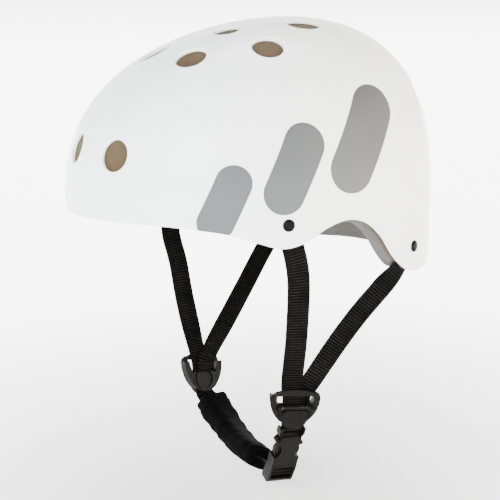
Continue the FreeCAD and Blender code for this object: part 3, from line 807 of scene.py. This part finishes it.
def smooth_line(points, faces, step):
    """Evenly spaced points, with their face directions, on a smooth line through the given ones."""
    points = np.array([tuple(p) for p in points], float)
    faces = np.array([tuple(f) for f in faces], float)
    gaps = np.sqrt(np.linalg.norm(np.diff(points, axis=0), axis=1))
    knots = np.concatenate([[0], np.cumsum(gaps)])
    ends = (2 * points[0] - points[1], 2 * points[-1] - points[-2])
    padded = np.vstack([ends[0], points, ends[1]])
    times = np.concatenate([[-gaps[0]], knots, [knots[-1] + gaps[-1]]])
    line, looks = [], []
    for k in range(len(points) - 1):
        p = padded[k:k + 4]
        t = times[k:k + 4]
        for x in np.linspace(t[1], t[2], 40, endpoint=k == len(points) - 2):
            a = [between(p[i], p[i + 1], t[i], t[i + 1], x) for i in range(3)]
            b = [between(a[i], a[i + 1], t[i], t[i + 2], x) for i in range(2)]
            line.append(between(b[0], b[1], t[1], t[2], x))
            share = (x - t[1]) / (t[2] - t[1])
            share = share * share * (3 - 2 * share)
            looks.append(faces[k] * (1 - share) + faces[k + 1] * share)
    line, looks = np.array(line), np.array(looks)
    run = run_along(line)
    even = np.linspace(0, run[-1], max(4, int(run[-1] / step)))
    return resampled(line, run, even), resampled(looks, run, even), even


def sections_along(line, looks):
    """Side and up directions across a strap at each point of its line."""
    along = unit_rows(np.gradient(line, axis=0))
    side = unit_rows(np.cross(along, looks))
    return side, np.cross(side, along)


def strap_mesh(name, points, faces):
    """Ribbed webbing: narrow grooves run across it, and its edges are gently scalloped."""
    line, looks, run = smooth_line(points, faces, RIB_PERIOD / 8)
    side, up = sections_along(line, looks)
    groove = (0.5 + 0.5 * np.cos(2 * math.pi * run / RIB_PERIOD)) ** 2
    turn = circle(40)
    c, s = np.cos(turn), np.sin(turn)
    reach = (np.abs(c) ** 7 + np.abs(s) ** 3) ** (-1 / 5)
    across, height = np.clip(reach * c, -1, 1), np.clip(reach * s, -1, 1)
    inner = 1 - np.abs(across) ** 10
    verts, uvs = [], []
    for i in range(len(line)):
        half = WEB_WIDTH / 2 - EDGE_DIP * groove[i]
        lift = WEB_THICKNESS / 2 * (RIB_CREST - RIB_DIP * groove[i] * inner)
        verts.append(line[i] + np.outer(across * half, side[i]) + np.outer(height * lift, up[i]))
        uvs += [(a * half * MM, run[i] * MM) for a in across]
    mesh = new_mesh(name, np.concatenate(verts), tube_faces(len(line), len(turn)))
    layer = mesh.uv_layers.new(name="weave")
    corners = np.zeros(len(mesh.loops), int)
    mesh.loops.foreach_get("vertex_index", corners)
    layer.data.foreach_set("uv", np.array(uvs)[corners].ravel())
    return mesh


# name: rivet, rearward lean of the strap as it rises to the rivet, side, listed route points,
# divider, distance that it enters the divider behind its middle, and level in the divider
UPPER_STRAPS = {
    "left_front_strap": (FRONT_RIVET, -0.3, LEFT, [(102, -38, -40), (88, -32, -88)],
                         LEFT_DIVIDER, -3, 0.9),
    "left_rear_strap": (REAR_RIVET, 0.75, LEFT, [(94, 34, -57.6), (88, 19, -77), (81, 5, -99)],
                        LEFT_DIVIDER, 9.5, -0.9),
    "right_front_strap": (FRONT_RIVET, 0.25, RIGHT,
                          [(-102, -56.5, -37), (-94, -53, -65), (-84, -51, -97)],
                          RIGHT_DIVIDER, -3, 0.9),
    "right_rear_strap": (REAR_RIVET, 0.75, RIGHT, [(-94, 30, -58), (-86, 7, -88), (-78, -13, -113)],
                         RIGHT_DIVIDER, 9.5, -0.9),
}


def shell_side(y, z):
    """Point of the left side of the shell at a given y and z, and the outward direction there."""
    lift = np.array(max(z, 0) / CROWN_HEIGHT)
    along, across, plan = reaches(lift, np.array(y < 0))
    point = np.array([float(across * (1 - (abs(y) / along) ** plan) ** (1 / plan)), y, z])
    return Vector(point), Vector(outward_at(point))


def mirrored(v):
    return Vector((-v.x, v.y, v.z))


def upper_route(rivet, lean, side, route, divider, rearward, level):
    """Centre points and face directions of a strap from its rivet into its divider."""
    place, outward = shell_side(*rivet)
    rise = Vector((0, lean, 1))
    upward = (rise - outward * outward.dot(rise)).normalized()
    at_rivet = place - outward * WEB_INSET
    points = [at_rivet + upward * 8, at_rivet, at_rivet - upward * 13]
    if side == RIGHT:
        points = [mirrored(p) for p in points]
        outward = mirrored(outward)
    free_face = (side + side.cross(Vector((0, 0, 1))) * STRAP_TURN + Vector((0, 0, -0.15))).normalized()
    faces = [outward] * len(points) + [free_face] * len(route)
    points += [Vector(p) for p in route]
    shift = rearward * divider.rearward
    for across, down in ((shift, -4), (shift * 0.5, 4), (shift * 0.36, 11), (shift * 0.25, 15.5)):
        points.append(divider.point(across, down, level))
        faces.append(divider.out)
    return points, faces


def upper_straps():
    for name, strap in UPPER_STRAPS.items():
        mesh = strap_mesh(name + "_webbing", *upper_route(*strap))
        add_piece(mesh, WEBBING, "helmet", "webbing", name)


def around_bar(turn, gap):
    """Point and face direction round the plug's webbing bar; turn 0 is on its outer side."""
    c = math.cos(math.radians(turn))
    s = math.sin(math.radians(turn))
    return BUCKLE.point(0, WEB_BAR_DOWN + gap * s, gap * c), -(BUCKLE.down * s + BUCKLE.out * c)


def drop_strap():
    points = [LEFT_DIVIDER.point(0, *place) for place in ((17, 0), (24, 0), (30, -0.9))]
    faces = [LEFT_DIVIDER.out] * 3
    for turn in (190, 150, 110, 70, 30):
        point, face = around_bar(turn, WEB_BAR_RADIUS + 0.25 + WEB_THICKNESS / 2)
        points.append(point)
        faces.append(face)
    add_piece(strap_mesh("left_drop_webbing", points, faces), WEBBING, "helmet", "webbing",
              "left_drop_strap")


CHIN_ROUTE = [(-54.0, -40.5, -177.2), (-43.0, -37.0, -187.9), (-31.0, -34.9, -194.8),
              (-17.0, -33.9, -199.2), (-2.0, -33.4, -201.4), (13.0, -33.1, -201.8),
              (27.0, -32.0, -202.0)]

# the chin strap round the ladder-lock bar: place down and out from the buckle's top, and its face
LOCK_ROUTE = [(44.9, -9.4, 1, 0.1), (45.1, -5.2, 1, 0.1), (44.4, 1.2, 1, 0.2), (42.4, 2.9, 0.3, 1),
              (40.0, 2.9, -0.3, 1), (38.0, 1.2, -1, 0.2), (37.6, -4.6, -1, 0)]


def chin_faces():
    """Outward direction of the chin strap at each route point, from the right divider to the buckle."""
    end = Vector((0.35, -0.45, -0.82))
    count = len(CHIN_ROUTE)
    return [(RIGHT_DIVIDER.out * (1 - i / count) + end * (i / count)).normalized()
            for i in range(1, count + 1)]


def chin_strap():
    points = [RIGHT_DIVIDER.point(0, 17, 0), RIGHT_DIVIDER.point(0, 32, 0)]
    points += [Vector(p) for p in CHIN_ROUTE]
    faces = [RIGHT_DIVIDER.out] * 2 + chin_faces()
    for down, out, face_down, face_out in LOCK_ROUTE:
        points.append(BUCKLE.point(0, down, out))
        faces.append((BUCKLE.down * face_down + BUCKLE.out * face_out).normalized())
    piece = add_piece(strap_mesh("chin_webbing", points, faces), WEBBING, None, "webbing", "chin_strap")
    bend(piece)


def bend(piece):
    """Bakes the piece's placement into its mesh."""
    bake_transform(piece)


# -------- padded sleeve of the chin strap

def chin_sleeve():
    """Knitted sleeve over a foam core: lumpy, with a lip and a tuck at each end."""
    step = 1.4
    line, looks, run = smooth_line(CHIN_ROUTE, chin_faces(), step)
    side, up = sections_along(line, looks)
    length = run[-1]
    turn = circle(56)
    c, s = np.cos(turn), np.sin(turn)
    reach = (np.abs(c) ** 3 + np.abs(s) ** 3) ** (-1 / 3)
    rng = np.random.default_rng(5)
    waves = [(rng.uniform(0.12, 0.55), rng.integers(1, 4), rng.uniform(0, 6.28), rng.uniform(0, 6.28))
             for _ in range(SLEEVE_WAVES)]
    rings = []

    def ring(i, grow, inset):
        lumps = sum(math.sin(w * run[i] + p) * np.cos(k * turn + q) for w, k, p, q in waves)
        grow = grow * (1 + SLEEVE_LUMPS * lumps) * np.ones(len(turn))
        wide = (SLEEVE_WIDTH / 2 - 0.6 - inset) * grow
        high = (SLEEVE_THICKNESS / 2 - 0.3 - inset) * grow
        flat = np.outer(c * reach * wide, side[i]) + np.outer(s * reach * high, up[i])
        return line[i] + flat

    for i in range(len(line)):
        edge = min(run[i], length - run[i])
        tuck = TUCK_DEPTH * math.exp(-((edge - TUCK_PLACE) / TUCK_WIDTH) ** 2)
        swell = min(1.0, 0.93 + edge / 60)
        rings.append(ring(i, swell, tuck))
    lip = ((0.62, 0.2), (0.74, 0.8), (0.83, 0.6))
    first = [ring(0, grow, 0) + (line[0] - line[1]) / step * far for grow, far in lip]
    last = [ring(-1, grow, 0) + (line[-1] - line[-2]) / step * far for grow, far in lip[::-1]]
    rings = first + rings + last
    mesh = new_mesh("chin_sleeve_fabric", np.concatenate(rings), tube_faces(len(rings), len(turn)))
    piece = add_piece(mesh, SLEEVE_FABRIC, None, "sleeve_fabric", "chin_sleeve")
    bend(piece)


# -------- moulded parts

def slope_shoulders(bm, divider):
    """Lets the ring's shoulders slope down behind its top bar."""
    for v in bm.verts:
        place = v.co / MM - divider.origin
        across, down, out = place.dot(divider.across), place.dot(divider.down), place.dot(divider.out)
        lowest = SHOULDER_DOWN * (BAR_BACK - out) / SHOULDER_DEPTH
        if abs(across) > SHOULDER_ACROSS and out < BAR_BACK and down < lowest:
            v.co += divider.down * ((lowest - down) * MM)


def welded(node):
    """Editable copy of a CAD node's mesh, with its doubled corners merged."""
    bm = bmesh.new()
    bm.from_mesh(frame["nodes"][node].data)
    bmesh.ops.remove_doubles(bm, verts=bm.verts, dist=2e-6)
    return bm


def sharp_edges(bm, degrees):
    least = math.radians(degrees)
    return [e for e in bm.edges if len(e.link_faces) == 2 and e.calc_face_angle() > least]


def softened(node, width, divider=None):
    """Copy of a CAD node with its sharp edges rounded, as they come out of a mould."""
    source = frame["nodes"][node]
    mesh = source.data.copy()
    mesh.name = node + "_moulded"
    bm = welded(node)
    bmesh.ops.dissolve_limit(bm, angle_limit=math.radians(1.0), verts=bm.verts, edges=bm.edges)
    if divider:
        slope_shoulders(bm, divider)
    bmesh.ops.bevel(bm, geom=sharp_edges(bm, 32), offset=width * MM, segments=3, profile=0.5,
                    affect="EDGES", clamp_overlap=True)
    bmesh.ops.recalc_face_normals(bm, faces=bm.faces)
    bm.to_mesh(mesh)
    bm.free()
    mesh.shade_smooth()
    mesh.set_sharp_from_angle(angle=math.radians(40))
    piece = add_piece(mesh, BLACK_PLASTIC, source["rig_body"], "black_plastic", node)
    weighted = piece.modifiers.new("weighted", "WEIGHTED_NORMAL")
    weighted.keep_sharp = True


def moulded_parts():
    softened("left_divider", 0.8, LEFT_DIVIDER)
    softened("right_divider", 0.8, RIGHT_DIVIDER)
    for node, width in (("left_divider_flap", 0.25), ("right_divider_flap", 0.25),
                        ("buckle_plug", 0.35), ("buckle_prong_front", 0.35),
                        ("buckle_prong_rear", 0.35), ("buckle_socket", 0.45)):
        softened(node, width)


# -------- rivets

def lathe(rows, centre, axis):
    """Turned shape: rows are its radius and height along axis from centre."""
    count = 48
    axis = Vector(axis).normalized()
    first = axis.orthogonal().normalized()
    second = axis.cross(first)
    verts = [centre + axis * height + (first * math.cos(turn) + second * math.sin(turn)) * radius
             for radius, height in rows for turn in circle(count)]
    return verts, tube_faces(len(rows), count)


def strap_rivets():
    """Domed heads with a soft shoulder, on stems that reach the washers."""
    head = RIVET_HEAD_RADIUS
    top = RIVET_HEAD_HEIGHT + 0.1
    rows = [(2.9, -7.7), (2.9, -7.1), (1.9, -7.0), (1.9, 0.05), (head - 0.35, 0.1), (head - 0.05, 0.3)]
    shoulder = 0.45
    for a in map(math.radians, range(0, 88, 8)):
        rows.append((head * math.cos(a) ** 0.8, shoulder + (top - shoulder) * math.sin(a)))
    rows.append((0.05, top))
    verts, faces = [], []
    for y, z in (FRONT_RIVET, REAR_RIVET):
        place, outward = shell_side(y, z)
        for centre, axis in ((place, outward), (mirrored(place), mirrored(outward))):
            points, quads = lathe(rows, centre, axis)
            faces += [[i + len(verts) for i in quad] for quad in quads]
            verts += [tuple(p) for p in points]
    mesh = new_mesh("strap_rivets_turned", verts, faces)
    mesh.set_sharp_from_angle(angle=math.radians(50))
    add_piece(mesh, RIVET_BLACK, "helmet", "rivet_black", "strap_rivets")


# -------- shell, backing and liner

def shell():
    rims = rim_rings(0, SHELL_WALL, RIM_EDGE, 0, 0, 520)
    holes = [vent_rings(vent, SHELL_WALL, VENT_EDGE, 72) for vent in vents()]
    mesh = sheet_mesh("shell_moulded", 0, SHELL_WALL, rims, holes, 1.3, 2.4)
    add_piece(mesh, SHELL_WHITE, "helmet", "shell_plastic", "outer_shell")


def relief_mesh(strap):
    """Slab round a strap's end inside the foams, wider and thicker than the strap."""
    points, faces = upper_route(*strap)
    line, looks, _ = smooth_line(points[:FREE_START], faces[:FREE_START], 2.0)
    side, up = sections_along(line, looks)
    half, lift = WEB_WIDTH / 2 + RELIEF, WEB_THICKNESS / 2 + RELIEF
    corners = ((-1, -1), (1, -1), (1, 1), (-1, 1))
    rings = [line + side * (a * half) + up * (b * lift) for a, b in corners]
    return new_mesh("relief", np.stack(rings, 1).reshape(-1, 3), tube_faces(len(line), 4))


def cut_reliefs(piece):
    """Cuts the strap ends' reliefs out of a foam layer."""
    for strap in UPPER_STRAPS.values():
        cutter = new_object("relief", relief_mesh(strap))
        cut = piece.modifiers.new("relief", "BOOLEAN")
        cut.operation = "DIFFERENCE"
        cut.solver = "EXACT"
        cut.object = cutter
        apply_modifiers(piece)
        bpy.data.objects.remove(cutter)
    piece.data.shade_smooth()
    piece.data.set_sharp_from_angle(angle=math.radians(50))


def backing():
    rims = rim_rings(BACKING_TOP, BACKING_WALL, 0.4, BACKING_DROP, FOAM_RISE, 400)
    mesh = sheet_mesh("backing_foam", BACKING_TOP, BACKING_WALL, rims, [], 2.2, 3.0)
    cut_reliefs(add_piece(mesh, TAN_FOAM, "helmet", "tan_foam", "foam_backing"))


def liner():
    rims = rim_rings(LINER_TOP, LINER_WALL, 2.2, LINER_DROP, FOAM_RISE, 400)
    mesh = sheet_mesh("liner_foam", LINER_TOP, LINER_WALL, rims, [], 2.4, 1.8)
    cut_reliefs(add_piece(mesh, GREY_FOAM, "helmet", "grey_foam", "impact_liner"))


def small_hidden_parts():
    """CAD nodes that keep their shape and get their finish here."""
    for node, material in (("rivet_washers", WASHER_STEEL), ("left_divider_pin", WASHER_STEEL),
                           ("right_divider_pin", WASHER_STEEL), ("hook_patches", HOOK_TAPE)):
        mesh = frame["nodes"][node].data
        mesh.materials.clear()
        mesh.materials.append(material)


# -------- camera, lights and floor

def camera():
    """Camera at the wearer's left and front, a little above."""
    azimuth, elevation, roll = map(math.radians, (CAMERA_AZIMUTH, CAMERA_ELEVATION, CAMERA_ROLL))
    data = bpy.data.cameras.new("camera")
    data.lens = LENS
    data.sensor_width = SENSOR
    view = new_object("camera", data)
    turn = (Matrix.Rotation(azimuth, 4, "Z") @ Matrix.Rotation(math.pi / 2 - elevation, 4, "X")
            @ Matrix.Rotation(roll, 4, "Z"))
    view.matrix_world = turn @ Matrix.Translation((CAMERA_RIGHT, CAMERA_UP, CAMERA_AWAY))
    bpy.context.scene.camera = view


def area_light(name, place, target, size, power, colour):
    data = bpy.data.lights.new(name, "AREA")
    data.shape = "RECTANGLE"
    data.size, data.size_y = size
    data.energy = power
    data.color = colour
    light = new_object(name, data)
    light.location = place
    light.rotation_euler = (Vector(target) - Vector(place)).to_track_quat("-Z", "Y").to_euler()


def stage():
    """Pale floor that sweeps up into a round wall, under a bright sky and three soft lights."""
    height = cad_box[0][2] - FLOOR_GAP
    rows = [(0.001, 0.0), (0.5, 0.0), (FLOOR_FLAT, 0.0)]
    for i in range(1, 13):
        turn = math.radians(90 * i / 12)
        rows.append((FLOOR_FLAT + FLOOR_SWEEP * math.sin(turn), FLOOR_SWEEP * (1 - math.cos(turn))))
    rows.append((FLOOR_FLAT + FLOOR_SWEEP, FLOOR_SWEEP + FLOOR_WALL))
    count = 96
    verts = [(radius * math.cos(turn), radius * math.sin(turn), height + lift)
             for radius, lift in rows for turn in circle(count)]
    mesh = bpy.data.meshes.new("floor")
    mesh.from_pydata(verts, [], tube_faces(len(rows), count, last=False))
    mesh.shade_smooth()
    floor = new_object("floor", mesh)
    floor.data.materials.append(floor_material())
    world = bpy.data.worlds.new("studio")
    world.use_nodes = True
    sky = world.node_tree.nodes["Background"]
    sky.inputs["Color"].default_value = SKY_COLOUR
    sky.inputs["Strength"].default_value = SKY_STRENGTH
    bpy.context.scene.world = world
    for name, light in LIGHTS.items():
        area_light(name, *light)


# -------- comfort pads

def pressed_pad(node):
    """Cloth-covered foam pad: the CAD solid swollen by cloth pressure; its sewn seam is added by
    piping.
    """
    mesh = frame["nodes"][node].data.copy()
    mesh.name = node + "_cloth"
    bm = welded(node)
    bm.normal_update()
    for v, normal in [(v, v.normal.copy()) for v in bm.verts]:
        v.co -= normal * (PAD_SLACK * MM)
    bm.to_mesh(mesh)
    bm.free()
    piece = add_piece(mesh, PAD_FABRIC, None, "pad_fabric")
    remesh = piece.modifiers.new("even", "REMESH")
    remesh.mode = "VOXEL"
    remesh.voxel_size = 0.0032
    apply_modifiers(piece)
    swell(piece)
    smooth = piece.modifiers.new("smooth", "SUBSURF")
    smooth.levels = smooth.render_levels = 1
    apply_modifiers(piece)
    piece.data.shade_smooth()
    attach(piece, "helmet")
    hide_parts(node)
    return piece


def apply_modifiers(piece):
    """The piece's mesh becomes what its modifiers make of it."""
    graph = bpy.context.evaluated_depsgraph_get()
    graph.update()
    mesh = bpy.data.meshes.new_from_object(piece.evaluated_get(graph), depsgraph=graph)
    piece.modifiers.clear()
    old = piece.data
    piece.data = mesh
    mesh.name = old.name


def swell(piece):
    """Blows the piece up a little as cloth, by at most PAD_SWELL."""
    before = np.array([v.co[:] for v in piece.data.vertices])
    cloth = piece.modifiers.new("cloth", "CLOTH")
    cloth.settings.use_pressure = True
    cloth.settings.uniform_pressure_force = 4.0
    cloth.settings.quality = 4
    cloth.settings.tension_stiffness = 25
    cloth.settings.effector_weights.gravity = 0
    scene = bpy.context.scene
    for number in range(1, 13):
        scene.frame_set(number)
    apply_modifiers(piece)
    scene.frame_set(1)
    after = np.array([v.co[:] for v in piece.data.vertices])
    move = after - before
    size = np.linalg.norm(move, axis=1, keepdims=True)
    after = before + move * np.minimum(1, PAD_SWELL * MM / np.maximum(size, 1e-9))
    piece.data.vertices.foreach_set("co", after.ravel())
    piece.data.update()


def rim_loop(node):
    """Points, in order, along the sharp edge of a pad on its side towards the head."""
    bm = welded(node)
    sharp = sharp_edges(bm, 50)
    paths = {}
    for e in sharp:
        for v in e.verts:
            paths.setdefault(v.index, []).append(e)
    loops, seen = [], set()
    for start in sharp:
        if start.index in seen:
            continue
        loop, edge, vert = [], start, start.verts[0]
        while edge is not None and edge.index not in seen:
            seen.add(edge.index)
            loop.append(vert.co.copy())
            vert = edge.other_vert(vert)
            edge = next((e for e in paths[vert.index] if e.index not in seen), None)
        loops.append(loop)
    bm.free()
    long_loops = sorted(loops, key=len)[-2:]
    return min(long_loops, key=lambda loop: sum(p.length for p in loop) / len(loop))


def piping(node, pad):
    """Corded edge sewn round a pad: a twisted cord on its edge towards the head."""
    tree = BVHTree.FromObject(pad, bpy.context.evaluated_depsgraph_get())
    points = np.array([p[:] for p in rim_loop(node)]) / MM
    points = np.vstack([points, points[:1]])
    run = run_along(points)
    count = int(run[-1] / 0.9)
    line = resampled(points, run, np.linspace(0, run[-1], count, endpoint=False))
    line = np.array([tree.find_nearest(Vector(p) * MM)[0][:] for p in line]) / MM
    for _ in range(6):
        line = (np.roll(line, 1, 0) + 2 * line + np.roll(line, -1, 0)) / 4
    along = unit_rows(np.roll(line, -1, 0) - np.roll(line, 1, 0))
    side = unit_rows(np.cross(along, line - line.mean(0)))
    up = np.cross(side, along)
    turn = circle(12)
    twist = np.arange(count) * (2 * math.pi / count * round(count / 6))
    angle = np.broadcast_to(turn, (count, len(turn)))
    radius = PIPING_RADIUS * (1 + 0.10 * np.cos(3 * (angle - twist[:, None])))[..., None]
    rings = line[:, None] + radius * (np.cos(angle)[..., None] * side[:, None]
                                      + np.sin(angle)[..., None] * up[:, None])
    faces = tube_faces(count, len(turn), first=False, last=False, ring=True)
    mesh = new_mesh(node + "_piping", rings.reshape(-1, 3), faces)
    add_piece(mesh, PAD_FABRIC, "helmet", "pad_fabric")


def comfort_pads():
    for node in ("front_pad", "rear_pad", "left_side_pad", "right_side_pad", "crown_pad"):
        piping(node, pressed_pad(node))


# -------- everything

camera()
stage()
shell()
backing()
liner()
comfort_pads()
upper_straps()
drop_strap()
chin_strap()
chin_sleeve()
moulded_parts()
strap_rivets()
small_hidden_parts()
